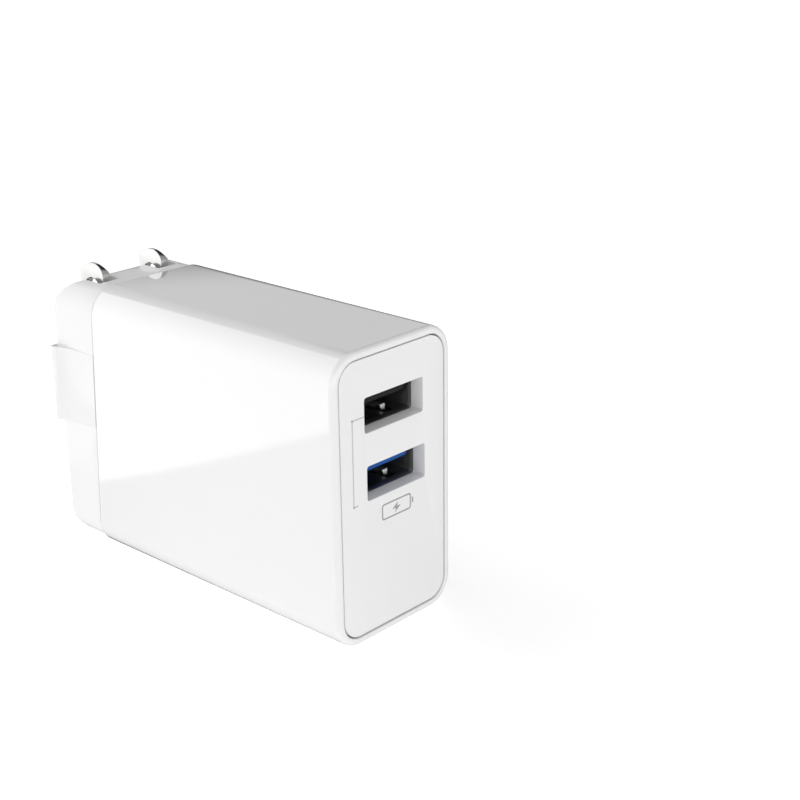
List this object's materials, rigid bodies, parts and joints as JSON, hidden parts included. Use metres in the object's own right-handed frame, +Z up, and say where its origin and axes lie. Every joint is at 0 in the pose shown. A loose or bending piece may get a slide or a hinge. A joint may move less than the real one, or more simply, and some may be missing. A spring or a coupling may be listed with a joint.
{
  "type": "usb wall charger",
  "caption": "White rounded block mains charger with stacked USB-A ports in front and a plug that folds out of the rear cap.",
  "frame": {"origin": "middle of the underside, on the surface the charger stands on", "axes": "+Z up, +Y from the ports to the outlet side, +X to the right as seen from the ports"},
  "size_m": [0.0282, 0.0674, 0.0498],
  "materials": {
    "case_gloss": "polished white moulding",
    "panel_satin": "semi-gloss white moulding",
    "cap_satin": "satin white moulding",
    "black_plastic": "moulded black",
    "blue_plastic": "moulded blue",
    "nickel": "nickel plated brass, stamped",
    "steel": "folded sheet",
    "brass": "spring brass",
    "aluminium": "plain",
    "copper": "enamelled copper wire",
    "board": "green circuit board",
    "ferrite": "sintered",
    "yellow_film": "polyester film",
    "red_lacquer": "dipped",
    "blue_lacquer": "dipped",
    "wire_black": "insulated lead",
    "wire_white": "insulated lead"
  },
  "bodies": {
    "case": {"main_sleeve": "case_gloss", "port_panel": "panel_satin", "rear_cap": "cap_satin", "hinge_retainer": "black_plastic", "contact_spring_left": "brass", "contact_spring_right": "brass", "detent_spring": "steel", "usb_shell_upper": "steel", "usb_shell_lower": "steel", "usb_tongue_upper": "black_plastic", "usb_tongue_lower": "blue_plastic", "usb_contact_upper_1": "brass", "usb_contact_upper_2": "brass", "usb_contact_upper_3": "brass", "usb_contact_upper_4": "brass", "usb_contact_lower_1": "brass", "usb_contact_lower_2": "brass", "usb_contact_lower_3": "brass", "usb_contact_lower_4": "brass", "usb_board": "board", "main_board": "board", "transformer_core_front": "ferrite", "transformer_core_rear": "ferrite", "transformer_bobbin": "black_plastic", "transformer_winding": "yellow_film", "choke_core": "ferrite", "choke_winding": "copper", "input_capacitor_1": "black_plastic", "input_capacitor_2": "black_plastic", "output_capacitor_1": "aluminium", "output_capacitor_2": "aluminium", "x_capacitor": "yellow_film", "y_capacitor": "blue_lacquer", "varistor": "red_lacquer", "fuse": "black_plastic", "bridge_rectifier": "black_plastic", "switching_mosfet": "black_plastic", "heatsink": "aluminium", "controller_ic": "black_plastic", "rectifier_ic": "black_plastic", "protocol_ic": "black_plastic", "board_link": "black_plastic", "insulation_sheet": "yellow_film", "wire_live": "wire_black", "wire_neutral": "wire_white"},
    "plug": {"blade_carrier": "cap_satin", "blade_left": "nickel", "blade_right": "nickel"}
  },
  "joints": [
    {"name": "plug_fold", "type": "hinge", "parent": "case", "child": "plug", "pos_m": [0, 0.02978, 0.02945], "axis": [-1, 0, 0], "range_deg": [0, 90]}
  ]
}
